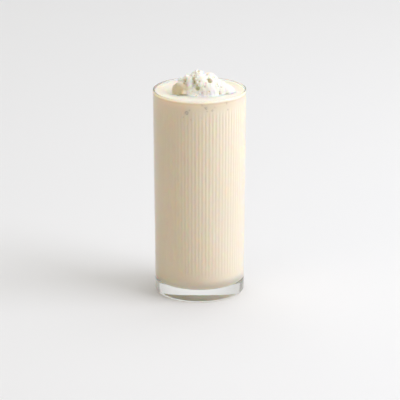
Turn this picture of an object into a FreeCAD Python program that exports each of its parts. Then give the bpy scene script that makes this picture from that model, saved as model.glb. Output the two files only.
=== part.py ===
import FreeCAD, Part
import math
import os

import Sketcher

# Vanilla milkshake: a tall straight glass with fine upright flutes inside its wall, the drink that
# fills it almost to the rim, and a spooned heap of whipped cream that sits in the drink's surface.
# Millimetres, +Z up. The origin is the middle of the glass's foot, on the surface it stands on.

SIZES = {
    # The glass
    "glass_height": 158.0,
    "rim_radius": 35.0,
    "foot_radius": 33.75,
    "rim_wall": 1.6,
    "foot_wall": 2.0,
    "base_thickness": 8.8,
    "floor_round": 9.0,
    "foot_round": 2.6,
    "rim_round": 0.6,
    "punt_radius": 25.0,
    "punt_depth": 0.6,
    # The upright flutes inside the wall
    "flute_count": 80,
    "flute_depth": 0.25,
    "flute_mill_radius": 2.1,
    "flute_start": 0.4,
    "flute_collar": 7.0,
    "flute_fade": 7.0,
    # The drink
    "fill_gap": 1.6,
    # The whipped cream
    "cream_east": 3.0,
    "cream_north": -5.0,
    "cream_sink": 2.5,
    "cream_lift": 0.4,
    "cream_blend": 1.6,
    "cream_search": 34.0,
}

# The big lumps of the heap, each a ball: how far east and north of the heap's middle and how far
# above the drink its centre is, and its radius.
LUMPS = {
    "body": (3.0, -1.0, 1.4, 12.5),
    "peak": (-4.2, 0.0, 11.0, 6.4),
    "shoulder": (-11.0, -1.0, 7.8, 7.0),
    "crest": (3.9, 0.6, 9.2, 6.4),
    "left_knob": (-18.0, 3.0, 6.4, 5.0),
    "left_lump": (-17.8, -3.4, 4.2, 5.8),
    "front_crown": (-1.6, -5.4, 9.6, 5.2),
    "east_slope": (11.2, -1.0, 2.4, 8.6),
    "east_foot": (17.5, 0.0, 0.2, 6.2),
    "tail": (21.5, 1.0, -1.0, 3.6),
    "front_foot": (4.5, -6.5, -12.2, 16.3),
    "front_middle": (-5.0, -6.5, -8.6, 12.4),
    "front_left": (-10.0, -6.6, 2.0, 4.4),
    "back_foot": (-2.0, 8.5, 1.4, 8.4),
    "back_east": (8.0, 7.0, 0.4, 7.2),
}
LUMP_SIZES = ("east", "north", "up", "radius")

# How finely the heap is faceted: steps round it, and steps from its foot to its top.
AZIMUTH_STEPS = 72
ELEVATION_STEPS = 18
# Step of the walk inwards along each ray, and how closely the surface is then found.
WALK_STEP = 0.6
HALVINGS = 12

FAILED_STATES = ("Invalid", "Error")

doc = FreeCAD.newDocument("vanilla_milkshake")


def fill_sheet():
    """The driving dimensions, one row each: the name in column A and the number in column B."""
    sheet = doc.addObject("Spreadsheet::Sheet", "sizes")
    rows = dict(SIZES)
    for name, numbers in LUMPS.items():
        for size, number in zip(LUMP_SIZES, numbers):
            rows[f"{name}_{size}"] = number
    for row, (alias, number) in enumerate(rows.items(), start=1):
        sheet.set(f"A{row}", alias)
        sheet.set(f"B{row}", str(number))
        sheet.setAlias(f"B{row}", alias)
    doc.recompute()
    return sheet


sheet = fill_sheet()


def size(alias):
    """A driving dimension's number, for code that works out a shape or a starting position."""
    return float(sheet.get(alias))


def new_body(name):
    """An empty body whose name is also its label."""
    body = doc.addObject("PartDesign::Body", name)
    body.Label = name
    return body


def upright_sketch(body, name):
    """A sketch on the body's own XZ plane: its X is the radius and its Y is the height."""
    sketch = body.newObject("Sketcher::SketchObject", name)
    plane = next(item for item in body.Origin.OriginFeatures if item.Role == "XZ_Plane")
    sketch.AttachmentSupport = [(plane, "")]
    sketch.MapMode = "FlatFace"
    return sketch


def point(x, y):
    return FreeCAD.Vector(x, y, 0)


def bind(sketch, kind, where, name, value, formula):
    """A dimension of the sketch, with its name, that follows a formula of the sheet."""
    index = sketch.addConstraint(Sketcher.Constraint(kind, *where, value))
    sketch.renameConstraint(index, name)
    sketch.setExpression(f"Constraints.{name}", formula)


def closed_outline(sketch, corners):
    """Straight edges through the corners and back to the first. Each corner is (name, X value and
    formula, Y value and formula); a formula of None keeps the corner on that axis."""
    count = len(corners)
    places = [point(x[0], y[0]) for _, x, y in corners]
    for index in range(count):
        sketch.addGeometry(Part.LineSegment(places[index], places[(index + 1) % count]), False)
    for index in range(count):
        sketch.addConstraint(Sketcher.Constraint("Coincident", index, 2, (index + 1) % count, 1))
    for index, (name, x, y) in enumerate(corners):
        if x[1] is None:
            sketch.addConstraint(Sketcher.Constraint("PointOnObject", index, 1, -2))
        else:
            bind(sketch, "DistanceX", (-1, 1, index, 1), name + "_radius", x[0], x[1])
        if y[1] is None:
            sketch.addConstraint(Sketcher.Constraint("PointOnObject", index, 1, -1))
        else:
            bind(sketch, "DistanceY", (-1, 1, index, 1), name + "_height", y[0], y[1])


def ring_edges(feature, radius, height):
    """Names of the feature's round edges of that radius about the glass's axis, at that height."""
    names = []
    for number, edge in enumerate(feature.Shape.Edges, start=1):
        if edge.Degenerated or not isinstance(edge.Curve, Part.Circle):
            continue
        curve = edge.Curve
        if abs(curve.Radius - radius) < 0.01 and abs(curve.Center.z - height) < 0.01:
            names.append(f"Edge{number}")
    if not names:
        raise RuntimeError(f"no round edge of radius {radius} at height {height}")
    return names


def add_fillet(body, name, base, rings, alias):
    """Rounds the round edges at each (radius, height) by the size with that alias."""
    fillet = body.newObject("PartDesign::Fillet", name)
    fillet.Base = (base, [edge for ring in rings for edge in ring_edges(base, *ring)])
    fillet.Radius = size(alias)
    fillet.setExpression("Radius", f"sizes.{alias}")
    doc.recompute()
    return fillet


def bore_radius(height):
    """Radius of the plain bore at a height above the foot: it widens evenly from the floor."""
    low = size("foot_radius") - size("foot_wall")
    high = size("rim_radius") - size("rim_wall")
    share = (height - size("base_thickness")) / (size("glass_height") - size("base_thickness"))
    return low + (high - low) * share


def bore_formula(height):
    """The same radius as a formula of the sheet, for a height that is itself such a formula."""
    low = "(sizes.foot_radius - sizes.foot_wall)"
    high = "(sizes.rim_radius - sizes.rim_wall)"
    share = f"(({height} - sizes.base_thickness) / (sizes.glass_height - sizes.base_thickness))"
    return f"{low} + ({high} - {low}) * {share}"


def turn_blank(body):
    """The glass as turned: a thick flat base and a wall that thins a little towards the rim."""
    sketch = upright_sketch(body, "glass_profile")
    height, base = size("glass_height"), size("base_thickness")
    closed_outline(sketch, [
        ("axis_foot", (0.0, None), (0.0, None)),
        ("foot", (size("foot_radius"), "sizes.foot_radius"), (0.0, None)),
        ("rim", (size("rim_radius"), "sizes.rim_radius"), (height, "sizes.glass_height")),
        ("mouth", (bore_radius(height), "sizes.rim_radius - sizes.rim_wall"),
         (height, "sizes.glass_height")),
        ("floor", (bore_radius(base), "sizes.foot_radius - sizes.foot_wall"),
         (base, "sizes.base_thickness")),
        ("axis_floor", (0.0, None), (base, "sizes.base_thickness")),
    ])
    blank = body.newObject("PartDesign::Revolution", "glass_blank")
    blank.Profile = sketch
    blank.ReferenceAxis = (sketch, ["V_Axis"])
    blank.Angle = 360
    doc.recompute()
    return blank


def hollow_punt(body):
    """A shallow dish under the base, so that the glass stands on a flat ring."""
    reach, depth = size("punt_radius"), size("punt_depth")
    radius = (reach ** 2 + depth ** 2) / (2 * depth)
    start = math.atan2(radius - depth, reach)
    sketch = upright_sketch(body, "punt_profile")
    circle = Part.Circle(point(0, depth - radius), FreeCAD.Vector(0, 0, 1), radius)
    sketch.addGeometry(Part.ArcOfCircle(circle, start, math.pi / 2), False)
    sketch.addGeometry(Part.LineSegment(point(0, depth), point(0, 0)), False)
    sketch.addGeometry(Part.LineSegment(point(0, 0), point(reach, 0)), False)
    sketch.addConstraint(Sketcher.Constraint("Coincident", 0, 2, 1, 1))
    sketch.addConstraint(Sketcher.Constraint("Coincident", 1, 2, 2, 1))
    sketch.addConstraint(Sketcher.Constraint("Coincident", 2, 2, 0, 1))
    sketch.addConstraint(Sketcher.Constraint("Coincident", 1, 2, -1, 1))
    sketch.addConstraint(Sketcher.Constraint("PointOnObject", 0, 3, -2))
    sketch.addConstraint(Sketcher.Constraint("PointOnObject", 0, 2, -2))
    sketch.addConstraint(Sketcher.Constraint("PointOnObject", 0, 1, -1))
    bind(sketch, "DistanceX", (-1, 1, 0, 1), "reach", reach, "sizes.punt_radius")
    bind(sketch, "DistanceY", (-1, 1, 0, 2), "depth", depth, "sizes.punt_depth")
    groove = body.newObject("PartDesign::Groove", "punt")
    groove.Profile = sketch
    groove.ReferenceAxis = (sketch, ["V_Axis"])
    groove.Angle = 360
    doc.recompute()
    return groove


def flute_cutter(body):
    """One flute, as the path of a long slim cutter with tapered ends: its outline is turned about a
    line beside the bore's wall. The cutter reaches flute_depth into the wall along its straight
    middle, and runs out of the wall over flute_fade at each end."""
    mill, depth = size("flute_mill_radius"), size("flute_depth")
    low = size("base_thickness") + size("floor_round") + size("flute_start")
    high = size("glass_height") - size("flute_collar")
    fade = size("flute_fade")
    bottom = "(sizes.base_thickness + sizes.floor_round + sizes.flute_start)"
    top = "(sizes.glass_height - sizes.flute_collar)"
    reach = "sizes.flute_depth"
    axis = "(sizes.flute_mill_radius - sizes.flute_depth)"

    def across(height, formula, offset, offset_formula):
        return (bore_radius(height) + offset, f"{bore_formula(formula)} + {offset_formula}")

    sketch = upright_sketch(body, "flute_profile")
    closed_outline(sketch, [
        ("tip_low", across(low, bottom, depth - mill, f"0 - {axis}"), (low, bottom)),
        ("in_low", across(low, bottom, -depth, f"0 - {reach}"), (low, bottom)),
        ("out_low", across(low + fade, f"({bottom} + sizes.flute_fade)", depth, reach),
         (low + fade, f"{bottom} + sizes.flute_fade")),
        ("out_high", across(high - fade, f"({top} - sizes.flute_fade)", depth, reach),
         (high - fade, f"{top} - sizes.flute_fade")),
        ("in_high", across(high, top, -depth, f"0 - {reach}"), (high, top)),
        ("tip_high", across(high, top, depth - mill, f"0 - {axis}"), (high, top)),
    ])
    flute = body.newObject("PartDesign::Groove", "flute")
    flute.Profile = sketch
    flute.ReferenceAxis = (sketch, ["Edge6"])
    flute.Angle = 360
    doc.recompute()
    return flute


def ring_of_flutes(body, flute):
    """The flute repeated evenly round the glass."""
    axis = next(item for item in body.Origin.OriginFeatures if item.Role == "Z_Axis")
    pattern = body.newObject("PartDesign::PolarPattern", "flutes")
    pattern.Originals = [flute]
    pattern.Axis = (axis, [""])
    pattern.Angle = 360
    pattern.Occurrences = int(size("flute_count"))
    pattern.setExpression("Occurrences", "sizes.flute_count")
    body.Tip = pattern
    doc.recompute()
    return pattern


def make_glass():
    """The glass: turned blank, dished foot, rounded edges, then the flutes."""
    body = new_body("glass")
    blank = turn_blank(body)
    punt = hollow_punt(body)
    if punt.Shape.Volume >= blank.Shape.Volume:
        raise RuntimeError("the dish under the foot cuts nothing")
    height, base = size("glass_height"), size("base_thickness")
    foot = add_fillet(body, "foot_rounding", punt, [(size("foot_radius"), 0.0)], "foot_round")
    floor = add_fillet(body, "floor_rounding", foot, [(bore_radius(base), base)], "floor_round")
    rim = add_fillet(body, "rim_rounding", floor,
                     [(size("rim_radius"), height), (bore_radius(height), height)], "rim_round")
    flute = flute_cutter(body)
    if flute.Shape.Volume >= rim.Shape.Volume:
        raise RuntimeError("the first flute cuts nothing")
    flutes = ring_of_flutes(body, flute)
    faces_of_one = len(flute.Shape.Faces) - len(rim.Shape.Faces)
    faces_of_all = len(flutes.Shape.Faces) - len(rim.Shape.Faces)
    if faces_of_all != faces_of_one * size("flute_count"):
        raise RuntimeError("the ring of flutes is not complete")
    return body


def heap_field(where, lumps, blend):
    """How far a place is outside the heap's lumps, less than 0 inside them: the smallest of the
    distances to the balls, with the creases between balls rounded over the blend length."""
    total = sum(math.exp(-(where.distanceToPoint(centre) - radius) / blend)
                for centre, radius in lumps)
    return -blend * math.log(total)


def heap_reach(direction, middle, lumps):
    """Distance from the heap's middle to its surface along a direction, found from outside."""
    blend = size("cream_blend")
    far = size("cream_search")
    while far > 0 and heap_field(middle + direction * far, lumps, blend) > 0:
        far -= WALK_STEP
    if far <= 0:
        raise RuntimeError("a lump of the heap stands apart from its middle")
    low, high = far, far + WALK_STEP
    for _ in range(HALVINGS):
        half = (low + high) / 2
        if heap_field(middle + direction * half, lumps, blend) > 0:
            high = half
        else:
            low = half
    return low


def heap_points(lumps):
    """The heap's corners: rings from its foot to just under its top, then the top itself, the
    sunk ring under its foot and the middle of its underside."""
    middle = FreeCAD.Vector(0, 0, size("cream_lift"))
    points = []
    for step in range(ELEVATION_STEPS):
        rise = math.pi / 2 * step / ELEVATION_STEPS
        for turn in range(AZIMUTH_STEPS):
            round_angle = 2 * math.pi * turn / AZIMUTH_STEPS
            direction = FreeCAD.Vector(math.cos(rise) * math.cos(round_angle),
                                       math.cos(rise) * math.sin(round_angle), math.sin(rise))
            points.append(middle + direction * heap_reach(direction, middle, lumps))
    upwards = FreeCAD.Vector(0, 0, 1)
    points.append(middle + upwards * heap_reach(upwards, middle, lumps))
    for turn in range(AZIMUTH_STEPS):
        points.append(FreeCAD.Vector(points[turn].x, points[turn].y, -size("cream_sink")))
    points.append(FreeCAD.Vector(0, 0, -size("cream_sink")))
    return points


def heap_facets():
    """Triangles between the heap's rings, over its top, down its sunk side and under it."""
    top = ELEVATION_STEPS * AZIMUTH_STEPS
    sunk = top + 1
    under = sunk + AZIMUTH_STEPS
    facets = []
    for turn in range(AZIMUTH_STEPS):
        following = (turn + 1) % AZIMUTH_STEPS
        for step in range(ELEVATION_STEPS - 1):
            low, high = step * AZIMUTH_STEPS, (step + 1) * AZIMUTH_STEPS
            facets.append((low + turn, low + following, high + following))
            facets.append((low + turn, high + following, high + turn))
        last = (ELEVATION_STEPS - 1) * AZIMUTH_STEPS
        facets.append((last + turn, last + following, top))
        facets.append((sunk + turn, sunk + following, following))
        facets.append((sunk + turn, following, turn))
        facets.append((under, sunk + following, sunk + turn))
    return facets


def make_cream():
    """The heap of whipped cream: the outline of its joined lumps, seen from its own middle, closed
    by a sunk side and a flat underside. Its own origin is in the drink's surface."""
    lumps = []
    for name in LUMPS:
        east, north, up, radius = (size(f"{name}_{part}") for part in LUMP_SIZES)
        lumps.append((FreeCAD.Vector(east, north, up), radius))
    skin = Part.Shape()
    skin.makeShapeFromMesh((heap_points(lumps), heap_facets()), 0.001)
    cream = doc.addObject("Part::Feature", "whipped_cream")
    cream.Label = "whipped_cream"
    cream.Shape = Part.makeSolid(skin).removeSplitter()
    cream.Placement = FreeCAD.Placement()
    cream.setExpression("Placement.Base.x", "sizes.cream_east")
    cream.setExpression("Placement.Base.y", "sizes.cream_north")
    cream.setExpression("Placement.Base.z", "sizes.glass_height - sizes.fill_gap")
    doc.recompute()
    return cream


def make_drink(glass, cream):
    """The drink: a plug out to the middle of the wall and up to the level, less the glass and less
    the heap, so that it meets both face to face."""
    plug = doc.addObject("Part::Cone", "drink_plug")
    bottom = "(sizes.base_thickness / 2)"
    level = "(sizes.glass_height - sizes.fill_gap)"
    plug.setExpression("Height", f"{level} - {bottom}")
    plug.setExpression("Placement.Base.z", bottom)
    plug.setExpression("Radius1", "sizes.foot_radius - sizes.foot_wall / 2")
    plug.setExpression("Radius2", "sizes.rim_radius - sizes.rim_wall / 2")
    in_glass = doc.addObject("Part::Cut", "drink_in_glass")
    in_glass.Base = plug
    in_glass.Tool = glass
    drink = doc.addObject("Part::Cut", "milkshake")
    drink.Label = "milkshake"
    drink.Base = in_glass
    drink.Tool = cream
    doc.recompute()
    return drink


def check_all(nodes):
    """Stops before anything is written if an object failed or a node isn't one sound solid."""
    for item in doc.Objects:
        if any(state in item.State for state in FAILED_STATES):
            raise RuntimeError(f"{item.Label} failed: {item.State}")
    for node in nodes:
        shape = node.Shape
        if shape.isNull() or not shape.isValid():
            raise RuntimeError(f"{node.Label} has no valid shape")
        if len(shape.Solids) != 1:
            raise RuntimeError(f"{node.Label} is {len(shape.Solids)} solids")
        box = shape.optimalBoundingBox(False)
        print(node.Label, "volume", round(shape.Volume / 1000, 2), "cm3, box", box)


glass = make_glass()
cream = make_cream()
drink = make_drink(glass, cream)
check_all([glass, drink, cream])

os.makedirs("parts", exist_ok=True)
for node in (glass, drink, cream):
    node.Shape.exportStep(f"parts/{node.Label}.step")
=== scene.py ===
import math

import bpy
import numpy as np
from bpy.props import FloatProperty, FloatVectorProperty, IntProperty, PointerProperty
from bpy.types import Operator, Panel, PropertyGroup
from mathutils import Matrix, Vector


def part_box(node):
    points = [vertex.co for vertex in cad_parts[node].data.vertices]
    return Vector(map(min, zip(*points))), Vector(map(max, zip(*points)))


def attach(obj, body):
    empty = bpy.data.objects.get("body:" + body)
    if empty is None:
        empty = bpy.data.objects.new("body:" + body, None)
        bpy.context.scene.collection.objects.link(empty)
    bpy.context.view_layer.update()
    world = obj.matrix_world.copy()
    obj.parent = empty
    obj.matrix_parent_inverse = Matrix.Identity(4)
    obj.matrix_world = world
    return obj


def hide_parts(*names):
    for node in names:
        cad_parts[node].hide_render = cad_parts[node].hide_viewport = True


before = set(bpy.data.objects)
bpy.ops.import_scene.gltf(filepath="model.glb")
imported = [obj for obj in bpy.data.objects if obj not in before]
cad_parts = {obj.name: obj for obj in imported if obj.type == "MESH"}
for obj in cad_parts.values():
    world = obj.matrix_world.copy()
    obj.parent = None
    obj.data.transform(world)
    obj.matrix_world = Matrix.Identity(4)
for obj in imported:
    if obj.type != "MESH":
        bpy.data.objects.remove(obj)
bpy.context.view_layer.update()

bl_info = {
    "name": "Vanilla Milkshake",
    "version": (1, 0, 0),
    "blender": (4, 5, 0),
    "location": "View3D > Sidebar > Milkshake",
    "description": "Builds a filled tall glass of vanilla milkshake with whipped cream",
    "category": "Add Mesh",
}

BODY = "root"
MM = 0.001
GLASS_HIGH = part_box("glass")[1]
DRINK_LOW, DRINK_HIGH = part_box("milkshake")
CREAM_LOW, CREAM_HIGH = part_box("whipped_cream")


# ---------------------------------------------------------------------------
# Sizes and colours that a user would change
# ---------------------------------------------------------------------------

def length(name, description, default):
    """A length in metres, shown in the scene's unit."""
    return FloatProperty(name=name, description=description, default=default, min=0.0,
                         precision=5, unit="LENGTH", subtype="DISTANCE")


def colour(name, description, default):
    """A linear colour."""
    return FloatVectorProperty(name=name, description=description, default=default, min=0.0,
                               max=1.0, size=3, subtype="COLOR")


def number(name, description, default):
    return FloatProperty(name=name, description=description, default=default, precision=4)


def degrees(name, description, default):
    return FloatProperty(name=name, description=description, default=math.radians(default),
                         unit="ROTATION", subtype="ANGLE")


class GlassSizes(PropertyGroup):
    """The glass's own sizes; its height and width come from the frame."""
    foot_radius: length("Foot radius", "Radius of the wall at the foot", 33.75 * MM)
    rim_wall: length("Rim wall", "Thickness of the wall at the rim", 1.6 * MM)
    foot_wall: length("Foot wall", "Thickness of the wall at the floor", 2.0 * MM)
    floor_round: length("Floor rounding", "Radius between the wall and the floor", 9.0 * MM)
    foot_round: length("Foot rounding", "Radius of the foot's outer edge", 2.6 * MM)
    rim_round: length("Rim rounding", "Radius of the rim's edges", 0.6 * MM)
    punt_radius: length("Dish radius", "Radius of the dish under the base", 25.0 * MM)
    punt_depth: length("Dish depth", "Depth of the dish under the base", 0.6 * MM)
    flutes: IntProperty(name="Flutes", description="How many flutes go round the wall",
                        default=80, min=3)
    flute_depth: length("Flute depth", "Depth of a flute in the wall", 0.25 * MM)
    flute_width: length("Flute width", "Width of a flute at the wall", 2.0 * MM)
    flute_start: length("Flute start", "Height at which the flutes begin", 18.2 * MM)
    flute_collar: length("Plain collar", "Height of the plain wall under the rim", 7.0 * MM)
    flute_fade: length("Flute fade", "Length over which a flute runs out", 7.0 * MM)


class DrinkSizes(PropertyGroup):
    """How the drink meets its glass and its cream."""
    bite: length("Bite", "How far the drink reaches into the wall", 0.06 * MM)
    meniscus: length("Meniscus", "How far the drink creeps up the wall", 0.8 * MM)
    meniscus_reach: length("Meniscus reach", "Width of the edge that creeps up", 1.6 * MM)
    ripple: length("Ripple", "Height of the gentle waves on the drink", 0.25 * MM)


class CreamSizes(PropertyGroup):
    """The heap's own sizes; its place comes from the frame."""
    blend: length("Crease rounding", "Rounding of the creases between lumps", 0.55 * MM)
    crumb: length("Crumb", "Height of the fine broken texture", 0.22 * MM)
    lift: length("Lift", "Height of the heap's middle above the drink", 0.4 * MM)
    knobs: IntProperty(name="Small knobs", description="How many small knobs are scattered",
                       default=90, min=0)
    pockets: IntProperty(name="Small pockets", description="How many small hollows are scattered",
                         default=60, min=0)


class BubbleSizes(PropertyGroup):
    """Bubbles that the drink holds against the glass."""
    scale: number("Scale", "Size of every bubble against its own radius", 1.0)
    bulge: length("Bulge", "How far a bubble's film stands out of the drink", 0.12 * MM)


class Finishes(PropertyGroup):
    """Colours of the drink, the cream, the glass and the stage."""
    glass: colour("Glass", "Tint of the glass", (0.985, 0.992, 0.985))
    drink: colour("Drink", "Vanilla shake", (0.885, 0.805, 0.680))
    cream: colour("Cream", "Whipped cream", (0.98, 0.95, 0.875))
    # Painted shade: the cream's colour deep in a crease, where little light reaches.
    hollow: colour("Hollows", "Cream deep in a crease", (0.74, 0.70, 0.47))
    # Painted shade on the west lump of cream, which the rest of the heap keeps from the light.
    lump_shade: colour("Soaked cream", "Cream soaked with the drink", (0.72, 0.64, 0.47))
    # Painted shade on the drink's side just under its level, where the rim keeps light off it.
    level_shade: colour("Tide line", "Drink just under its level", (0.70, 0.61, 0.47))
    melt: colour("Melted cream", "Cream melted into the drink's top", (0.985, 0.90, 0.755))
    # Painted light: the drink just over the floor of the glass, lighter and warmer, standing in for
    # light that the base carries to it.
    under: colour("Underside", "Drink over the floor of the glass", (1.0, 0.87, 0.67))
    # Painted shade: the dark ring round a bubble against the glass.
    bubble: colour("Bubble", "Film of a bubble against the glass", (0.34, 0.25, 0.13))
    floor: colour("Floor", "Floor and backdrop", (0.855, 0.86, 0.87))


class StageSizes(PropertyGroup):
    """Camera, lights and floor."""
    camera_distance: length("Camera distance", "Level distance to the glass's axis", 1.8)
    camera_height: length("Camera height", "Height of the camera", 0.660)
    camera_pitch: degrees("Camera pitch", "How far the camera looks down", 18.12)
    camera_aside: length("Camera aside", "How far right of the axis the camera stands", 0.0003)
    camera_lens: number("Lens", "Focal length in millimetres", 225.45)
    key_azimuth: degrees("Key azimuth", "How far the key light is turned to the front", 16.0)
    key_height: degrees("Key elevation", "How high the key light stands", 34.0)
    key_power: number("Key power", "Power of the key light in watts", 15.0)
    key_size: length("Key size", "Side of the key light", 1.24)
    key_distance: length("Key distance", "How far away the key light is", 1.7)
    top_power: number("Top power", "Power of the overhead light in watts", 31.0)
    top_size: length("Top size", "Side of the overhead light", 3.0)
    top_height: length("Top height", "Height of the overhead light", 2.2)
    fill_power: number("Fill power", "Power of the low front light in watts", 7.0)
    back_power: number("Back power", "Power of the pale card behind in watts", 9.0)
    sky: number("Sky", "Strength of the even light from all round", 0.375)
    floor_gap: length("Floor gap", "Thin gap of air under the glass", 0.1 * MM)


# ---------------------------------------------------------------------------
# Shader maths
# ---------------------------------------------------------------------------

class Wire:
    """A node's output. Arithmetic on it adds Math nodes and gives another Wire."""

    def __init__(self, finish, socket):
        self.finish = finish
        self.socket = socket

    def __add__(self, other):
        return self.finish.maths("ADD", self, other)

    __radd__ = __add__

    def __mul__(self, other):
        return self.finish.maths("MULTIPLY", self, other)

    __rmul__ = __mul__

    def __sub__(self, other):
        return self.finish.maths("SUBTRACT", self, other)

    def __rsub__(self, other):
        return self.finish.maths("SUBTRACT", other, self)

    def clamped(self):
        return self.finish.node("ShaderNodeClamp", {}, {"Value": self})["Result"]


class Finish:
    """A material whose node tree is written as expressions."""

    def __init__(self, name):
        self.material = bpy.data.materials.new(name)
        self.material.use_nodes = True
        self.tree = self.material.node_tree
        self.tree.nodes.clear()

    def node(self, kind, settings, sockets):
        """Adds a node: its settings first, then its inputs' values or links, by name or index."""
        node = self.tree.nodes.new(kind)
        for key, value in settings.items():
            setattr(node, key, value)
        for key, value in sockets.items():
            if isinstance(value, Wire):
                self.tree.links.new(value.socket, node.inputs[key])
            else:
                node.inputs[key].default_value = value
        return {out.name: Wire(self, out) for out in reversed(node.outputs) if out.enabled}

    def maths(self, operation, first, second):
        return self.node("ShaderNodeMath", {"operation": operation}, {0: first, 1: second})["Value"]

    def place(self):
        return self.node("ShaderNodeTexCoord", {}, {})["Object"]

    def height(self):
        """Height above the floor in metres."""
        return self.node("ShaderNodeSeparateXYZ", {}, {"Vector": self.place()})["Z"]

    def spot(self, name):
        """A number that the mesh keeps at each of its points."""
        return self.node("ShaderNodeAttribute", {"attribute_name": name}, {})["Fac"]

    def noise(self, size, detail=2.0, roughness=0.5, stretch=(1, 1, 1)):
        """Soft noise whose grains are about that many metres across."""
        where = self.node("ShaderNodeMapping", {"vector_type": "POINT"},
                          {"Vector": self.place(), "Scale": stretch})["Vector"]
        return self.node("ShaderNodeTexNoise", {"noise_dimensions": "3D"},
                         {"Vector": where, "Scale": 1.0 / size, "Detail": detail,
                          "Roughness": roughness})["Fac"]

    def ramp(self, value, low, high):
        """0 up to low, 1 from high, smooth between."""
        return self.node("ShaderNodeMapRange", {"interpolation_type": "SMOOTHSTEP"},
                         {"Value": value, "From Min": low, "From Max": high})["Result"]

    def blend(self, share, first, second):
        """The first colour where share is 0 and the second where it is 1."""
        mix = self.tree.nodes.new("ShaderNodeMix")
        mix.data_type = "RGBA"
        for key, value in (("Factor_Float", share), ("A_Color", first), ("B_Color", second)):
            socket = next(item for item in mix.inputs if item.identifier == key)
            if isinstance(value, Wire):
                self.tree.links.new(value.socket, socket)
            else:
                socket.default_value = value
        out = next(item for item in mix.outputs if item.identifier == "Result_Color")
        return Wire(self, out)

    def bump(self, height, distance, strength=1.0):
        return self.node("ShaderNodeBump", {}, {"Height": height, "Distance": distance,
                                                "Strength": strength})["Normal"]

    def done(self, shader):
        self.node("ShaderNodeOutputMaterial", {}, {"Surface": shader})
        return self.material


def opaque(tint, brightness=1.0):
    """A colour with its alpha, brightened or darkened evenly."""
    return tuple(min(part * brightness, 1.0) for part in tint) + (1.0,)


# ---------------------------------------------------------------------------
# Surfaces
# ---------------------------------------------------------------------------

def add_mesh(name, points, quads, triangles):
    """An object at the origin whose mesh has those points and faces, shaded smooth."""
    mesh = bpy.data.meshes.new(name)
    corners = np.concatenate([quads.ravel(), triangles.ravel()]).astype(np.int32)
    starts = np.concatenate([np.arange(len(quads)) * 4,
                             quads.size + np.arange(len(triangles)) * 3]).astype(np.int32)
    mesh.vertices.add(len(points))
    mesh.vertices.foreach_set("co", points.astype(np.float32).ravel())
    mesh.loops.add(len(corners))
    mesh.loops.foreach_set("vertex_index", corners)
    mesh.polygons.add(len(starts))
    mesh.polygons.foreach_set("loop_start", starts)
    mesh.update(calc_edges=True)
    mesh.validate()
    mesh.shade_smooth()
    piece = bpy.data.objects.new(name, mesh)
    bpy.context.scene.collection.objects.link(piece)
    return piece


def keep_spots(piece, name, values):
    """Stores one number at each point of the mesh, for the material to read."""
    layer = piece.data.attributes.new(name, "FLOAT", "POINT")
    layer.data.foreach_set("value", values.astype(np.float32).ravel())


def ring_faces(rows, columns, first=0):
    """Quads between neighbouring rings; each ring is closed, so its last column meets its first."""
    row, column = np.meshgrid(np.arange(rows - 1), np.arange(columns), indexing="ij")
    following = (column + 1) % columns
    low, high = first + row * columns, first + (row + 1) * columns
    return np.stack([low + column, low + following, high + following, high + column],
                    axis=-1).reshape(-1, 4)


def add_closed_rings(name, rings, start, end):
    """A closed skin over rings (rows, columns, 3), from a pole before the first to a pole after the
    last. The rings run anticlockwise seen from above where the skin faces outwards going up."""
    rows, columns, _ = rings.shape
    points = np.concatenate([[start], rings.reshape(-1, 3), [end]])
    column = np.arange(columns)
    following = (column + 1) % columns
    last = 1 + (rows - 1) * columns
    fans = np.concatenate([
        np.stack([np.zeros_like(column), 1 + following, 1 + column], axis=-1),
        np.stack([np.full_like(column, len(points) - 1), last + column, last + following], axis=-1),
    ])
    return add_mesh(name, points, ring_faces(rows, columns, 1), fans)


def add_many_closed(name, skins, poles):
    """Closed skins in one mesh: skins (skins, rows, columns, 3) with poles (skins, 2, 3) before the
    first row and after the last."""
    count, rows, columns, _ = skins.shape
    points = np.concatenate([poles[:, :1], skins.reshape(count, -1, 3), poles[:, 1:]], axis=1)
    step = points.shape[1]
    column = np.arange(columns)
    following = (column + 1) % columns
    last = 1 + (rows - 1) * columns
    fans = np.concatenate([
        np.stack([np.zeros_like(column), 1 + column, 1 + following], axis=-1),
        np.stack([np.full_like(column, step - 1), last + following, last + column], axis=-1),
    ])
    shift = (np.arange(count) * step)[:, None, None]
    quads = (ring_faces(rows, columns, 1)[None, :, ::-1] + shift).reshape(-1, 4)
    return add_mesh(name, points.reshape(-1, 3), quads, (fans[None] + shift).reshape(-1, 3))


def straight(first, last, count):
    """count points of (radius, height), evenly spaced from first to last."""
    share = np.linspace(0.0, 1.0, count)[:, None]
    return np.asarray(first) * (1 - share) + np.asarray(last) * share


def arc(centre, radius, start, stop, count):
    """count points on a circle: centre + radius (cos a, sin a), with a from start to stop."""
    angle = np.linspace(start, stop, count)
    return np.asarray(centre) + radius * np.stack([np.cos(angle), np.sin(angle)], axis=-1)


def chain(*runs):
    """Joins runs end to end, leaving out the point that each shares with the one before."""
    return np.concatenate([runs[0]] + [run[1:] for run in runs[1:]])


def angles(columns):
    return np.arange(columns) * 2 * math.pi / columns


def turned(profile, columns, swell=0.0):
    """Rings of a profile turned about the upright axis: (r cos a, r sin a, z), where r is the
    profile's radius plus swell, which may differ at every row and column."""
    around = angles(columns)[None, :]
    radius = profile[:, 0:1] + swell + np.zeros_like(around)
    height = profile[:, 1:2] + np.zeros_like(around)
    return np.stack([radius * np.cos(around), radius * np.sin(around), height], axis=-1)


def smooth_step(value, low, high):
    """0 up to low and 1 from high, by 3 t^2 - 2 t^3 between."""
    share = np.clip((value - low) / (high - low), 0.0, 1.0)
    return share * share * (3 - 2 * share)


STIR_CELL = (374761393, 668265263, 1274126177)
STIR_SEED = 1442695041
STIR_AGAIN = 1103515245
LOW_32_BITS = 0xFFFFFFFF


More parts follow.
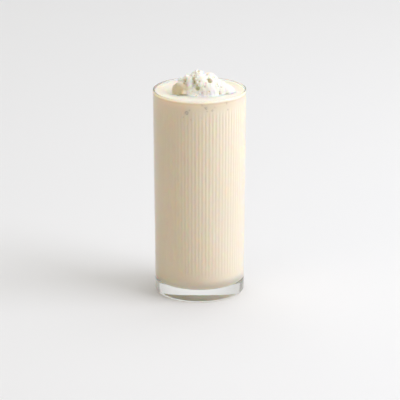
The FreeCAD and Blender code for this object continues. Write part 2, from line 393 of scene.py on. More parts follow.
def lattice(cell, seed):
    """A number from -1 to 1 that depends only on a cell's three whole numbers and the seed: they
    are multiplied by large numbers, added, and the low bits are stirred with the high ones."""
    mixed = (cell @ np.array(STIR_CELL) + seed * STIR_SEED) & LOW_32_BITS
    mixed = ((mixed ^ (mixed >> 13)) * STIR_AGAIN) & LOW_32_BITS
    mixed = mixed ^ (mixed >> 16)
    return (mixed & 0xFFFF) / 32767.5 - 1.0


def soft_noise(points, size, seed, octaves=1):
    """Smooth noise from about -1 to 1: lattice values blended by smooth steps, with each octave
    half as large and half as high as the one before."""
    total = np.zeros(points.shape[:-1])
    height = 1.0
    for octave in range(octaves):
        place = points / size * 2 ** octave
        cell = np.floor(place).astype(np.int64)
        inside = place - cell
        share = inside * inside * (3 - 2 * inside)
        for corner in np.ndindex(2, 2, 2):
            weight = np.prod(np.where(np.array(corner) == 1, share, 1 - share), axis=-1)
            total += height * weight * lattice(cell + np.array(corner), seed + octave)
        height /= 2
    return total


# ---------------------------------------------------------------------------
# Glass
# ---------------------------------------------------------------------------

COLUMNS_PER_FLUTE = 6

# How many points each run of the glass's profile has.
DISH_POINTS = 14
SOLE_POINTS = 4
FOOT_POINTS = 10
OUTSIDE_POINTS = 40
RIM_POINTS = 7
LIP_POINTS = 3
BORE_POINTS = 80
CORNER_POINTS = 12
FLOOR_POINTS = 14


class GlassForm:
    """Radii and heights of the glass, worked out from the frame and the sizes."""

    def __init__(self, sizes):
        self.sizes = sizes
        self.top = GLASS_HIGH[2]
        self.rim_radius = GLASS_HIGH[0]
        self.floor = DRINK_LOW[2]
        self.mouth = self.rim_radius - sizes.rim_wall
        self.floor_radius = sizes.foot_radius - sizes.foot_wall
        self.columns = sizes.flutes * COLUMNS_PER_FLUTE
        self.lean = math.atan2(self.mouth - self.floor_radius, self.top - self.floor)

    def bore(self, height):
        """Radius of the plain bore: it widens evenly from the floor to the mouth."""
        share = (height - self.floor) / (self.top - self.floor)
        return self.floor_radius + (self.mouth - self.floor_radius) * share

    def flute_cut(self, height):
        """How far each column of the wall is cut back. A flute is a shallow circular hollow of its
        width and depth; it keeps its depth along its middle and runs out at both ends."""
        sizes = self.sizes
        pitch = 2 * math.pi / sizes.flutes
        off = (angles(self.columns) + pitch / 2) % pitch - pitch / 2
        across = np.abs(off)[None, :] * self.bore(height)[:, None]
        half = sizes.flute_width / 2
        mill = (half ** 2 + sizes.flute_depth ** 2) / (2 * sizes.flute_depth)
        hollow = np.sqrt(np.maximum(mill ** 2 - across ** 2, 0)) - (mill - sizes.flute_depth)
        high = self.top - sizes.flute_collar
        run = (smooth_step(height, sizes.flute_start, sizes.flute_start + sizes.flute_fade)
               * (1 - smooth_step(height, high - sizes.flute_fade, high)))
        return np.maximum(hollow, 0) * run[:, None]

    def floor_corner(self, outset):
        """The rounding between floor and wall, moved outwards by outset: a circle's arc whose
        centre is where a circle of that radius touches both."""
        radius = self.sizes.floor_round
        height = self.floor + radius
        centre = (self.bore(height) - radius / math.cos(self.lean), height)
        return arc(centre, radius + outset, -math.pi / 2, -self.lean, CORNER_POINTS)


def glass_profile(form):
    """The glass's profile as (radius, height), in two runs: from under the middle of the base,
    round the foot, up the outside and over the rim; and from there down the bore to the floor's
    middle. The dish is part of a ball whose radius is (reach^2 + depth^2) / (2 depth)."""
    sizes = form.sizes
    dish_radius = (sizes.punt_radius ** 2 + sizes.punt_depth ** 2) / (2 * sizes.punt_depth)
    dish_edge = math.atan2(dish_radius - sizes.punt_depth, sizes.punt_radius)
    dish = arc((0, sizes.punt_depth - dish_radius), dish_radius, math.pi / 2, dish_edge,
               DISH_POINTS)
    lean = math.atan2(form.rim_radius - sizes.foot_radius, form.top)
    foot_centre = (sizes.foot_radius - sizes.foot_round, sizes.foot_round)
    foot = arc(foot_centre, sizes.foot_round, -math.pi / 2, -lean, FOOT_POINTS)
    edge = sizes.rim_round
    rim_out = arc((form.rim_radius - edge, form.top - edge), edge, -lean, math.pi / 2,
                  RIM_POINTS)
    rim_in = arc((form.mouth + edge, form.top - edge), edge, math.pi / 2, math.pi - form.lean,
                 RIM_POINTS)
    corner = form.floor_corner(0.0)[::-1]
    inside = chain(straight(rim_in[-1], corner[0], BORE_POINTS), corner,
                   straight(corner[-1], (0, form.floor), FLOOR_POINTS))
    outside = chain(dish, straight(dish[-1], foot[0], SOLE_POINTS), foot,
                    straight(foot[-1], rim_out[0], OUTSIDE_POINTS), rim_out,
                    straight(rim_out[-1], rim_in[0], LIP_POINTS), rim_in)
    return outside, inside


def glass_finish(finishes):
    """Clear polished glass with the faintest waviness and a few faint smears. Light from the lamps
    passes through it, so that what it holds is lit."""
    finish = Finish("clear_glass")
    wavy = finish.noise(0.02, 2.0, 0.5, (1, 1, 0.35))
    smear = finish.ramp(finish.noise(0.03, 4.0, 0.6, (1, 1, 0.4)), 0.45, 0.75)
    glass = finish.node("ShaderNodeBsdfPrincipled", {}, {
        "Base Color": opaque(finishes.glass), "Transmission Weight": 1.0, "IOR": 1.5,
        "Roughness": smear * 0.03 + 0.004, "Normal": finish.bump(wavy, 0.0002, 0.25),
    })["BSDF"]
    clear = finish.node("ShaderNodeBsdfTransparent", {}, {"Color": (0.97, 0.975, 0.97, 1)})["BSDF"]
    path = finish.node("ShaderNodeLightPath", {}, {})
    return finish.done(finish.node("ShaderNodeMixShader", {}, {
        0: path["Is Shadow Ray"], 1: glass, 2: clear})["Shader"])


class MILKSHAKE_OT_glass(Operator):
    """Adds the clear glass: dished foot, thin wall, rounded rim and fine flutes inside"""
    bl_idname = "milkshake.glass"
    bl_label = "Glass"

    def execute(self, context):
        sizes = context.scene.milkshake_glass
        form = GlassForm(sizes)
        outside, inside = glass_profile(form)
        smooth = turned(outside[1:], form.columns)
        swell = form.flute_cut(inside[:, 1])
        fluted = turned(inside[1:-1], form.columns, swell[1:-1])
        rings = np.concatenate([smooth, fluted])
        piece = add_closed_rings("glass_shell", rings, (0, 0, outside[0, 1]), (0, 0, form.floor))
        piece.data.materials.append(glass_finish(context.scene.milkshake_finishes))
        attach(piece, BODY)
        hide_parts("glass")
        return {"FINISHED"}


# ---------------------------------------------------------------------------
# Drink
# ---------------------------------------------------------------------------

# Painted shade on the drink's side: how deep under its level it starts, where its darker painted
# line starts, and where both are full. Painted light: how high over the floor of the glass the
# drink is lightened.
SHADE_DEPTH = 9 * MM
LEVEL_SHADE_LINE_DEPTH = 1.9 * MM
LEVEL_SHADE_TOP = 1 * MM
UNDERSIDE_LIGHT_HEIGHT = 4 * MM


def drink_finish(finishes):
    """Vanilla shake: pale, thick and cloudy, a little uneven, wet on top where cream melts into it,
    and dull against the glass. There it has painted shade that darkens it towards its level,
    deepest in a thin line just under the level, and painted light that makes it lighter and warmer
    just over the floor of the glass."""
    finish = Finish("vanilla_shake")
    cloud = finish.noise(0.022, 3.0, 0.55, (1, 1, 0.5))
    grain = finish.noise(0.0016, 2.0, 0.5)
    froth = finish.ramp(finish.noise(0.0009, 1.0, 0.4), 0.52, 0.70)
    top = finish.spot("on_top")
    height = finish.height()
    level, floor = DRINK_HIGH[2], DRINK_LOW[2]
    # Painted shade on the drink's side towards its level, with a darker painted line just under it.
    shade = 0.20 * finish.ramp(height, level - SHADE_DEPTH, level - LEVEL_SHADE_TOP)
    line = 0.40 * finish.ramp(height, level - LEVEL_SHADE_LINE_DEPTH, level - LEVEL_SHADE_TOP)
    side = (shade + line * (0.4 + cloud)) * (1 - top)
    tint = finish.blend(cloud, opaque(finishes.drink, 0.985), opaque(finishes.drink, 1.015))
    tint = finish.blend(side.clamped(), tint, opaque(finishes.level_shade))
    # Painted light: lighter and warmer towards the floor of the glass.
    tint = finish.blend(1 - finish.ramp(height, floor, floor + UNDERSIDE_LIGHT_HEIGHT), tint,
                        opaque(finishes.under))
    milky = top * (0.45 + froth * 0.15 + 0.5 * finish.spot("melted"))
    colour_out = finish.blend(milky.clamped(), tint, opaque(finishes.melt))
    shader = finish.node("ShaderNodeBsdfPrincipled", {}, {
        "Base Color": colour_out, "Roughness": 0.95 - 0.3 * top, "IOR": 1.35,
        "Specular IOR Level": 0.18, "Subsurface Weight": 1.0, "Subsurface Scale": 0.005,
        "Subsurface Radius": (1.0, 0.62, 0.34), "Coat Weight": top * 0.12, "Coat Roughness": 0.18,
        "Normal": finish.bump(grain * top + froth * top, 0.00025, 0.5),
    })["BSDF"]
    return finish.done(shader)


SIDE_POINTS = 100
UNDER_POINTS = 12
EDGE_BAND = 5 * MM
EDGE_RINGS = 18
MIDDLE_RINGS = 34
CALM_EDGE = 3 * MM
RIPPLE_LENGTH = 11 * MM
RIPPLE_SEED = 31
RAMP_HEIGHT = 0.7 * MM
RAMP_REACH = 1.3 * MM
MELT_REACH = 5 * MM


def drink_surface(form, sizes, reach_of_cream, columns):
    """Rings of the drink's top, from the wall inwards: level, plus a rim that creeps up the wall as
    exp(-distance / reach), plus a soft ramp at the cream's foot and long low ripples. Also how much
    cream has melted into it: exp(-distance from the cream's foot / its reach)."""
    level = DRINK_HIGH[2]
    wall = float(form.bore(np.array(level))) + sizes.bite
    inward = np.concatenate([np.linspace(0, EDGE_BAND, EDGE_RINGS),
                             np.linspace(EDGE_BAND + 0.8 * MM, wall - 1 * MM, MIDDLE_RINGS)])
    radius = (wall - inward)[:, None] + np.zeros(columns)[None, :]
    around = angles(columns)[None, :]
    x, y = radius * np.cos(around), radius * np.sin(around)
    flat = np.stack([x, y, np.zeros_like(x)], axis=-1)
    ripple = sizes.ripple * soft_noise(flat, RIPPLE_LENGTH, RIPPLE_SEED, 2)
    edge = sizes.meniscus * np.exp(-inward / sizes.meniscus_reach)[:, None]
    away = np.maximum(np.hypot(x - HEAP_X, y - HEAP_Y) - reach_of_cream(x, y), 0)
    foot = RAMP_HEIGHT * np.exp(-away / RAMP_REACH)
    share = smooth_step(inward, 0, CALM_EDGE)[:, None]
    height = level + edge + (ripple + foot) * share
    return np.stack([x, y, height], axis=-1), np.exp(-away / MELT_REACH)


class MILKSHAKE_OT_drink(Operator):
    """Adds the drink, which reaches just into the glass's wall, with a raised wet edge on top"""
    bl_idname = "milkshake.drink"
    bl_label = "Drink"

    def execute(self, context):
        scene = context.scene
        sizes = scene.milkshake_drink
        form = GlassForm(scene.milkshake_glass)
        level = DRINK_HIGH[2]
        corner = form.floor_corner(sizes.bite)
        base = form.floor - sizes.bite
        top_edge = level + sizes.meniscus
        wall = float(form.bore(np.array(top_edge))) + sizes.bite
        side = chain(straight((0, base), corner[0], UNDER_POINTS), corner,
                     straight(corner[-1], (wall, top_edge), SIDE_POINTS))
        swell = form.flute_cut(side[:, 1])
        sides = turned(side[1:-1], form.columns, swell[1:-1])
        top, melted = drink_surface(form, sizes, heap_foot_reach(scene), form.columns)
        rings = np.concatenate([sides, top])
        middle = (0, 0, float(top[-1, :, 2].mean()))
        piece = add_closed_rings("shake", rings, (0, 0, base), middle)
        below = np.zeros(1 + sides.shape[0] * form.columns)
        keep_spots(piece, "on_top", np.concatenate([below, np.ones(melted.size + 1)]))
        keep_spots(piece, "melted", np.concatenate([below, melted.ravel(), [1.0]]))
        piece.data.materials.append(drink_finish(scene.milkshake_finishes))
        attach(piece, BODY)
        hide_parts("milkshake")
        return {"FINISHED"}


# ---------------------------------------------------------------------------
# Whipped cream
# ---------------------------------------------------------------------------

# The heap's middle in the drink's surface, east and north of the glass's axis.
HEAP_X = 3.0 * MM
HEAP_Y = -5.0 * MM

# Large lumps as (east, north, up, radius) in millimetres from the heap's middle in the surface.
LUMPS = (
    (3.0, -1.0, 1.4, 12.0),
    (-4.4, 0.2, 11.5, 5.6),
    (-10.6, 0.0, 8.0, 6.0),
    (4.2, 1.0, 9.0, 6.0),
    (-14.2, 3.4, 7.0, 3.7),
    (-17.0, 3.6, 8.6, 2.1),
    (-19.4, 1.0, 3.0, 4.0),
    (-19.2, -2.6, 2.2, 4.2),
    (-17.6, -2.0, 4.8, 4.2),
    (-15.2, -3.4, 3.6, 5.0),
    (-21.6, -4.2, 0.6, 1.3),
    (-19.0, -6.6, 0.4, 1.1),
    (-1.6, -5.6, 9.8, 4.7),
    (11.0, -1.0, 2.4, 7.6),
    (9.6, -2.4, 6.4, 3.2),
    (17.2, 0.6, 0.0, 6.0),
    (16.8, -3.6, 2.6, 2.3),
    (21.2, 1.0, -1.0, 3.4),
    (4.5, -6.5, -12.4, 15.7),
    (-5.0, -6.5, -8.8, 11.9),
    (-9.0, -6.6, 1.6, 3.8),
    (-12.8, -5.2, 4.2, 2.4),
    (-10.2, -5.4, 6.8, 2.4),
    (-9.4, -3.6, 10.6, 2.4),
    (-6.2, -8.0, 4.2, 2.1),
    (-2.0, 8.5, 1.2, 8.0),
    (8.0, 7.0, 0.2, 6.8),
    (-8.0, 6.0, 4.4, 5.0),
)

# Deep hollows of the same form, cut out of the heap.
HOLLOWS = (
    (-4.4, -9.4, 6.0, 1.7),
    (-5.6, -8.4, 7.6, 1.5),
    (-7.6, -5.2, 12.6, 1.5),
    (-6.6, -5.8, 9.6, 1.5),
    (-12.8, -3.4, 9.8, 1.4),
    (-13.4, -4.0, 7.6, 1.2),
    (3.2, -5.4, 13.2, 1.3),
    (3.8, -6.0, 11.6, 1.6),
    (4.2, -6.8, 10.0, 1.6),
    (4.6, -7.4, 8.4, 1.2),
    (11.0, -8.2, 3.0, 0.8),
    (11.3, -8.6, 1.6, 0.9),
    (16.6, -5.2, 0.2, 1.1),
    (-16.0, -0.4, 8.8, 1.0),
)

# Where painted shade darkens the west lump of cream, as (east, north, up, radius) in millimetres,
# and the fading round it.
LUMP_SHADE = (-17.4, -4.2, 4.4, 5.6)
LUMP_SHADE_FADE = 2.2
LUMP_SHADE_CREST = (3.2, 5.0)

HEAP_COLUMNS = 400
HEAP_ROWS = 150
FOOT_BEARINGS = 180
SEARCH = 34 * MM
WALK_STEP = 0.5 * MM
HALVINGS = 9

# Radii of the scattered balls, how far they are sunk in parts of a radius, and their creases.
HEAP_SEED = 7
KNOB_RADII = (0.9 * MM, 2.0 * MM)
KNOB_SUNK = (0.1, 0.7)
KNOB_CREASE = 0.35 * MM
POCKET_RADII = (0.5 * MM, 1.1 * MM)
POCKET_SUNK = (-0.5, 0.2)
POCKET_CREASE = 0.25 * MM

CRUMB_LENGTH = 2.6 * MM
CRUMB_SEED = 5
FOLD_HEIGHT = 0.35 * MM
FOLD_LENGTH = 3.4 * MM
FOLD_STRETCH = (1.6, 1.0, 0.45)
FOLD_SEED = 9
HOLLOW_DEPTH = 1.6 * MM


def ball_field(points, balls, blend):
    """How far points are outside the joined balls: -blend log(sum exp(-distance / blend))."""
    total = np.zeros(points.shape[:-1])
    for ball in balls:
        distance = np.linalg.norm(points - ball[:3], axis=-1) - ball[3]
        total += np.exp(-distance / blend)
    return -blend * np.log(total)


def joined_reach(directions, balls, blend):
    """Distance from the middle to the joined balls' skin along each direction: a walk inwards from
    outside until it is first inside, then halving the last step."""
    reach = np.full(directions.shape[:-1], SEARCH)
    walking = np.ones(reach.shape, bool)
    while walking.any():
        outside = ball_field(directions[walking] * reach[walking][:, None], balls, blend) > 0
        reach[walking] -= np.where(outside, WALK_STEP, 0)
        still = walking.copy()
        still[walking] = outside & (reach[walking] > 0)
        walking = still
    low, high = reach.copy(), reach + WALK_STEP
    for _ in range(HALVINGS):
        half = (low + high) / 2
        outside = ball_field(directions * half[..., None], balls, blend) > 0
        high = np.where(outside, half, high)
        low = np.where(outside, low, half)
    return low


def ball_crossing(directions, ball):
    """Where each ray from the middle enters and leaves a ball, and whether it meets it at all."""
    along = directions @ ball[:3]
    inside = along ** 2 - ball[:3] @ ball[:3] + ball[3] ** 2
    root = np.sqrt(np.maximum(inside, 0))
    return along - root, along + root, (inside > 0) & (along > 0)


def soft_larger(first, second, blend):
    """The larger of two lengths, with the crease between them rounded over blend."""
    apart = np.clip(0.5 + 0.5 * (first - second) / blend, 0, 1)
    return second * (1 - apart) + first * apart + blend * apart * (1 - apart)


def scatter_balls(draw, count, directions, reach, size, sunk):
    """count small balls at random places of the skin, radius from size, their centres a share of
    their radius under it."""
    picks = draw.integers(0, reach.size, count)
    radii = draw.uniform(size[0], size[1], count)
    depth = draw.uniform(sunk[0], sunk[1], count) * radii
    centres = directions.reshape(-1, 3)[picks] * (reach.ravel()[picks] - depth)[:, None]
    return np.concatenate([centres, radii[:, None]], axis=1)


def heap_directions():
    """Unit vectors over the upper half of a ball, from level to nearly straight up."""
    rise = np.linspace(0, math.pi / 2, HEAP_ROWS, endpoint=False)[:, None]
    around = angles(HEAP_COLUMNS)[None, :]
    flat = np.cos(rise)
    return np.stack([flat * np.cos(around), flat * np.sin(around),
                     np.sin(rise) + 0 * around], axis=-1)


def heap_balls(rows, lift):
    """The balls in metres about the heap's middle, which lies lift above the drink."""
    return np.array(rows) * MM - np.array([0, 0, lift, 0])


def heap_foot_reach(scene):
    """A function of a place on the drink: how far the heap's foot reaches that way."""
    sizes = scene.milkshake_cream
    around = angles(FOOT_BEARINGS)
    level = np.stack([np.cos(around), np.sin(around), 0 * around], axis=-1)
    reach = joined_reach(level, heap_balls(LUMPS, sizes.lift), sizes.blend)

    def reach_of_cream(x, y):
        bearing = np.arctan2(y - HEAP_Y, x - HEAP_X) % (2 * math.pi)
        return np.interp(bearing, np.append(around, 2 * math.pi), np.append(reach, reach[0]))

    return reach_of_cream


def heap_skin(sizes):
    """The heap's directions, its reach along each, and how hollow the skin is there, which the
    cream's finish uses for painted shade in the creases. Large lumps are joined first, small knobs
    are raised on them, hollows are cut, and a fine broken texture is laid over, strongest to the
    west where the cream is torn."""
    draw = np.random.default_rng(HEAP_SEED)
    directions = heap_directions()
    balls = heap_balls(LUMPS, sizes.lift)
    smooth = joined_reach(directions, balls, sizes.blend)
    torn = 1 - smooth_step(directions[..., 0] * smooth, -5 * MM, 2 * MM)
    torn = np.maximum(torn, smooth_step(directions[..., 1] * smooth, 0, 6 * MM))
    reach = smooth.copy()
    knobs = scatter_balls(draw, sizes.knobs, directions, smooth, KNOB_RADII, KNOB_SUNK)
    for ball in knobs:
        _, leave, met = ball_crossing(directions, ball)
        raised = soft_larger(np.where(met, leave, 0), reach, KNOB_CREASE)
        reach = np.where(met, reach + (raised - reach) * torn, reach)
    pockets = scatter_balls(draw, sizes.pockets, directions, smooth, POCKET_RADII, POCKET_SUNK)
    for ball in np.concatenate([heap_balls(HOLLOWS, sizes.lift), pockets]):
        enter, leave, met = ball_crossing(directions, ball)
        dug = met & (leave > reach - ball[3]) & (enter < reach)
        reach = np.where(dug, -soft_larger(-enter, -reach, POCKET_CREASE), reach)
    place = directions * reach[..., None]
    crumb = sizes.crumb * (0.25 + 0.75 * torn)
    reach = reach + crumb * soft_noise(place, CRUMB_LENGTH, CRUMB_SEED, 3)
    folds = soft_noise(place * np.array(FOLD_STRETCH), FOLD_LENGTH, FOLD_SEED, 2)
    reach = reach + FOLD_HEIGHT * (1 - torn) * folds
    # How far the skin lies under the smooth lumps, which sets the painted crease shade.
    hollow = np.clip((smooth - reach) / HOLLOW_DEPTH, 0, 1)
    return directions, reach, hollow


def heap_lump_shade(directions, reach):
    """How much painted shade the cream gets: all round the west lump's middle, fading out
    towards its edge and its crest, which catches the light."""
    place = directions * reach[..., None]
    east, north, up = (LUMP_SHADE[axis] * MM for axis in range(3))
    away = np.linalg.norm(place - np.array([east, north, up]), axis=-1)
    near = 1 - smooth_step(away, LUMP_SHADE[3] * MM, (LUMP_SHADE[3] + LUMP_SHADE_FADE) * MM)
    low, high = (up + rise * MM for rise in LUMP_SHADE_CREST)
    return near * (1 - 0.85 * smooth_step(place[..., 2], low, high))


def cream_finish(finishes):
    """Whipped cream: white with a warm cast, with painted shade that turns it yellow-tan deep in a
    crease, soft and slightly wet.
    """
    finish = Finish("cream")
    hollow = finish.spot("hollow")
    cloud = finish.noise(0.006, 3.0, 0.55)
    grain = finish.noise(0.0007, 2.0, 0.55)
    tint = finish.blend(cloud, opaque(finishes.cream, 0.98), opaque(finishes.cream, 1.02))
    # Painted shade on the west lump, lightest at its crest.
    lump_shade = finish.blend(finish.spot("lump_shade"), tint, opaque(finishes.lump_shade))
    # Painted shade in the creases.
    deep = finish.blend(hollow, lump_shade, opaque(finishes.hollow))
    shader = finish.node("ShaderNodeBsdfPrincipled", {}, {
        "Base Color": deep, "Roughness": 0.42 + 0.2 * cloud, "IOR": 1.38,
        "Subsurface Weight": 1.0, "Subsurface Scale": 0.0022,
        "Subsurface Radius": (1.0, 0.7, 0.42), "Coat Weight": 0.2 * (1 - hollow),
        "Coat Roughness": 0.25, "Normal": finish.bump(grain, 0.00012, 0.6),
    })["BSDF"]
    return finish.done(shader)


class MILKSHAKE_OT_cream(Operator):
    """Adds the spooned heap of whipped cream, with its lumps, torn knobs, pockets and folds"""
    bl_idname = "milkshake.cream"
    bl_label = "Whipped cream"

    def execute(self, context):
        sizes = context.scene.milkshake_cream
        level = DRINK_HIGH[2]
        directions, reach, hollow = heap_skin(sizes)
        middle = np.array([HEAP_X, HEAP_Y, level + sizes.lift])
        rings = middle + directions * reach[..., None]
        rings[..., 2] = np.minimum(rings[..., 2], CREAM_HIGH[2])
        sunk = rings[0].copy()
        sunk[:, 2] = CREAM_LOW[2]
        rings = np.concatenate([sunk[None], rings])
        top = middle + np.array([0, 0, float(reach[-1].mean())])
        piece = add_closed_rings("cream_heap", rings, (HEAP_X, HEAP_Y, CREAM_LOW[2]), top)
        # Masks for painted shade: in the creases, and on the west lump.
        for name, values in (("hollow", hollow), ("lump_shade", heap_lump_shade(directions, reach))):
            keep_spots(piece, name, np.concatenate([np.zeros(1 + HEAP_COLUMNS), values.ravel(),
                                                    [0.0]]))
        piece.data.materials.append(cream_finish(context.scene.milkshake_finishes))
        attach(piece, BODY)
        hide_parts("whipped_cream")
        return {"FINISHED"}


# ---------------------------------------------------------------------------
# Bubbles
# ---------------------------------------------------------------------------

# Bubbles against the front of the glass as (east, depth under the rim, radius) in millimetres.
BUBBLES = (
    (1.9, 3.0, 0.62),
    (3.6, 4.6, 0.40),
    (4.8, 5.4, 0.85),
    (5.6, 7.8, 0.45),
    (9.3, 7.2, 0.75),
    (11.2, 5.0, 0.38),
    (19.7, 3.1, 0.66),
    (20.6, 8.2, 0.60),
    (-9.4, 9.2, 1.45),
    (-7.2, 7.0, 0.50),
    (-12.4, 12.6, 0.85),
    (-5.7, 14.2, 0.80),
    (-2.4, 10.4, 0.42),
    (1.2, 12.6, 0.36),
)
BUBBLE_SIDES = 16
BUBBLE_RINGS = 7


def bubble_finish(finishes):
    """The thin wet film over a bubble, with painted shade: a little darker than the drink at its
    middle and dark tan where it meets the drink.
    """
    finish = Finish("bubble_film")
    edge = finish.spot("edge")
    grain = finish.noise(0.0008, 1.0)
    # Painted shade: the bubble a little darker than the drink at its middle and dark tan towards
    # its rim.
    tint = finish.blend(edge, opaque(finishes.drink, 0.93), opaque(finishes.bubble))
    shader = finish.node("ShaderNodeBsdfPrincipled", {}, {
        "Base Color": tint, "Roughness": 0.3 + 0.3 * grain, "IOR": 1.35,
        "Subsurface Weight": 0.5, "Subsurface Scale": 0.002,
        "Subsurface Radius": (1.0, 0.62, 0.34)})["BSDF"]
    return finish.done(shader)


class MILKSHAKE_OT_bubbles(Operator):
    """Adds the few bubbles that stay against the front of the glass under its rim"""
    bl_idname = "milkshake.bubbles"
    bl_label = "Bubbles"

    def execute(self, context):
        """Each bubble is a flat ball: centre + r sin t (cos p across + sin p up) + bulge cos t out,
        with t from pole to pole and p all round."""
        scene = context.scene
        sizes = scene.milkshake_bubbles
        form = GlassForm(scene.milkshake_glass)
        rows = np.array(BUBBLES) * MM
        height = form.top - rows[:, 1]
        wall = form.bore(height) + scene.milkshake_drink.bite
        bearing = np.arcsin(rows[:, 0] / wall)
        out = np.stack([np.sin(bearing), -np.cos(bearing), 0 * bearing], axis=-1)[:, None, None]
        across = np.stack([np.cos(bearing), np.sin(bearing), 0 * bearing], axis=-1)[:, None, None]
        centre = out * wall[:, None, None, None]
        centre[..., 2] += height[:, None, None]
        tilt = np.linspace(0, math.pi, BUBBLE_RINGS)[1:-1][None, :, None, None]
        turn = angles(BUBBLE_SIDES)[None, None, :, None]
        radius = (rows[:, 2] * sizes.scale)[:, None, None, None]
        skin = (centre + radius * np.sin(tilt) * (np.cos(turn) * across
                                                  + np.sin(turn) * np.array([0.0, 0.0, 1.0]))
                + sizes.bulge * np.cos(tilt) * out)
        poles = np.concatenate([centre + sizes.bulge * out, centre - sizes.bulge * out], axis=1)
        piece = add_many_closed("side_bubbles", skin, poles[:, :, 0])
        # Where the painted dark ring lies on each bubble.
        keep_spots(piece, "edge", self.edges(len(rows)))
        piece.data.materials.append(bubble_finish(scene.milkshake_finishes))
        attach(piece, BODY)
        return {"FINISHED"}

    def edges(self, count):
        """How near each point is to its bubble's rim: sin t to the fourth, and 0 at the poles."""
        tilt = np.linspace(0, math.pi, BUBBLE_RINGS)[1:-1]
        one = np.concatenate([[0.0], np.repeat(np.sin(tilt) ** 4, BUBBLE_SIDES), [0.0]])
        return np.tile(one, count)


# ---------------------------------------------------------------------------
# Stage
# ---------------------------------------------------------------------------

def stage_finish(finishes):
    """Plain pale paper with the faintest mottling."""
    finish = Finish("stage_paper")
    mottle = finish.noise(0.3, 2.0)
    tint = finish.blend(mottle, opaque(finishes.floor, 0.995), opaque(finishes.floor, 1.005))
    return finish.done(finish.node("ShaderNodeBsdfPrincipled", {}, {
        "Base Color": tint, "Roughness": 0.9, "Specular IOR Level": 0.1})["BSDF"])


COOL_WHITE = (0.97, 0.985, 1.06)
WHITE = (1.0, 1.0, 1.0)
AMBER = (1.0, 0.79, 0.47)
WARM_SKY = (1.0, 0.975, 0.925, 1.0)
FILL_PLACE = (-1.5, -1.6, 0.35)
FILL_SIZE = 1.4
CARD_PLACE = (0, 2.3, 0.9)
CARD_WIDTH = 6.5
CARD_HEIGHT = 1.3
OVERHEAD = (0.6, 0.4)
FLOOR_STRIPS = 24


def add_area(name, place, target, width, height, power, tint):
    """A flat soft light at a place, turned to its target."""
    lamp = bpy.data.lights.new(name, "AREA")
    lamp.shape = "RECTANGLE"
    lamp.size, lamp.size_y = width, height
    lamp.energy = power
    lamp.color = tint
    light = bpy.data.objects.new(name, lamp)
    light.location = place
    aim = np.asarray(target) - np.asarray(place)
    flat = math.hypot(aim[0], aim[1])
    light.rotation_euler = (math.atan2(flat, -aim[2]), 0, math.atan2(-aim[0], aim[1]))
    bpy.context.scene.collection.objects.link(light)
    return light


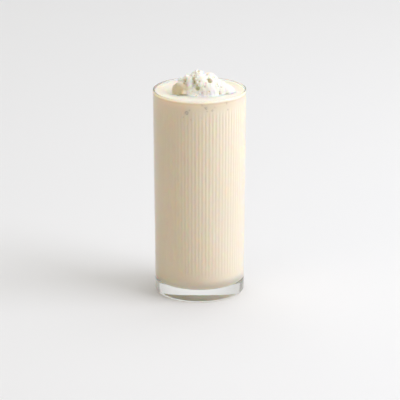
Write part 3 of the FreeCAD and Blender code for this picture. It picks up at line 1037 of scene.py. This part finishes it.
class MILKSHAKE_OT_stage(Operator):
    """Adds the pale floor and backdrop, the soft lights and the camera"""
    bl_idname = "milkshake.stage"
    bl_label = "Stage"

    def execute(self, context):
        scene = context.scene
        sizes = scene.milkshake_stage
        finishes = scene.milkshake_finishes
        self.add_floor(finishes, sizes.floor_gap)
        self.add_lights(scene, sizes)
        self.add_camera(scene, sizes)
        return {"FINISHED"}

    def add_floor(self, finishes, gap):
        """A wide floor that is carried up into a backdrop by a quarter circle. It lies a hair
        under the glass, so that air is between them as in life."""
        bend, back, front, tall, half = 1.2, 2.5, -4.0, 3.0, 5.0
        path = chain(straight((front, 0), (back, 0), 20),
                     arc((back, bend), bend, -math.pi / 2, 0, 24),
                     straight((back + bend, bend), (back + bend, tall), 8))
        across = np.linspace(-half, half, FLOOR_STRIPS)
        none = np.zeros((len(path), FLOOR_STRIPS))
        points = np.stack([across + none, path[:, 0:1] + none, path[:, 1:2] - gap + none], axis=-1)
        row, column = np.meshgrid(np.arange(len(path) - 1), np.arange(FLOOR_STRIPS - 1),
                                  indexing="ij")
        corner = row * FLOOR_STRIPS + column
        above = corner + FLOOR_STRIPS
        quads = np.stack([corner, corner + 1, above + 1, above], axis=-1).reshape(-1, 4)
        floor = add_mesh("floor", points.reshape(-1, 3), quads, np.zeros((0, 3), int))
        floor.data.materials.append(stage_finish(finishes))

    def add_lights(self, scene, sizes):
        """A large soft key from the right, a little to the front, and even light all round."""
        target = (0, 0, GLASS_HIGH[2] / 2)
        level = math.cos(sizes.key_height) * sizes.key_distance
        place = (level * math.cos(sizes.key_azimuth), -level * math.sin(sizes.key_azimuth),
                 target[2] + math.sin(sizes.key_height) * sizes.key_distance)
        add_area("key", place, target, sizes.key_size, sizes.key_size, sizes.key_power,
                 COOL_WHITE)
        add_area("overhead", (*OVERHEAD, sizes.top_height), (*OVERHEAD, 0), sizes.top_size,
                 sizes.top_size, sizes.top_power, WHITE)
        add_area("front_fill", FILL_PLACE, target, FILL_SIZE, FILL_SIZE, sizes.fill_power, AMBER)
        add_area("back_card", CARD_PLACE, target, CARD_WIDTH, CARD_HEIGHT, sizes.back_power, WHITE)
        world = bpy.data.worlds.new("even_light")
        world.use_nodes = True
        background = world.node_tree.nodes["Background"]
        background.inputs["Color"].default_value = WARM_SKY
        background.inputs["Strength"].default_value = sizes.sky
        scene.world = world
        scene.view_settings.view_transform = "Standard"
        scene.view_settings.look = "None"

    def add_camera(self, scene, sizes):
        data = bpy.data.cameras.new("camera")
        data.lens = sizes.camera_lens
        data.sensor_width = 36.0
        data.clip_end = 100.0
        camera = bpy.data.objects.new("camera", data)
        camera.location = (sizes.camera_aside, -sizes.camera_distance, sizes.camera_height)
        camera.rotation_euler = (math.pi / 2 - sizes.camera_pitch, 0, 0)
        scene.collection.objects.link(camera)
        scene.camera = camera


# ---------------------------------------------------------------------------
# Add-on
# ---------------------------------------------------------------------------

GROUPS = {
    "milkshake_glass": GlassSizes,
    "milkshake_drink": DrinkSizes,
    "milkshake_cream": CreamSizes,
    "milkshake_bubbles": BubbleSizes,
    "milkshake_finishes": Finishes,
    "milkshake_stage": StageSizes,
}
STEPS = (MILKSHAKE_OT_stage, MILKSHAKE_OT_glass, MILKSHAKE_OT_drink, MILKSHAKE_OT_cream,
         MILKSHAKE_OT_bubbles)


class VIEW3D_PT_milkshake(Panel):
    """Lists the steps that build the milkshake, and their sizes"""
    bl_label = "Milkshake"
    bl_idname = "VIEW3D_PT_milkshake"
    bl_space_type = "VIEW_3D"
    bl_region_type = "UI"
    bl_category = "Milkshake"

    def draw(self, context):
        for step in STEPS:
            self.layout.operator(step.bl_idname)
        for name in GROUPS:
            sizes = getattr(context.scene, name)
            box = self.layout.box()
            for key in sizes.bl_rna.properties.keys():
                if key not in ("rna_type", "name"):
                    box.prop(sizes, key)


def register():
    for group in GROUPS.values():
        bpy.utils.register_class(group)
    for name, group in GROUPS.items():
        setattr(bpy.types.Scene, name, PointerProperty(type=group))
    for step in STEPS:
        bpy.utils.register_class(step)
    bpy.utils.register_class(VIEW3D_PT_milkshake)


def unregister():
    bpy.utils.unregister_class(VIEW3D_PT_milkshake)
    for step in reversed(STEPS):
        bpy.utils.unregister_class(step)
    for name, group in reversed(GROUPS.items()):
        delattr(bpy.types.Scene, name)
        bpy.utils.unregister_class(group)


def main():
    register()
    for step in STEPS:
        group, name = step.bl_idname.split(".")
        getattr(getattr(bpy.ops, group), name)()


if __name__ == "__main__":
    main()
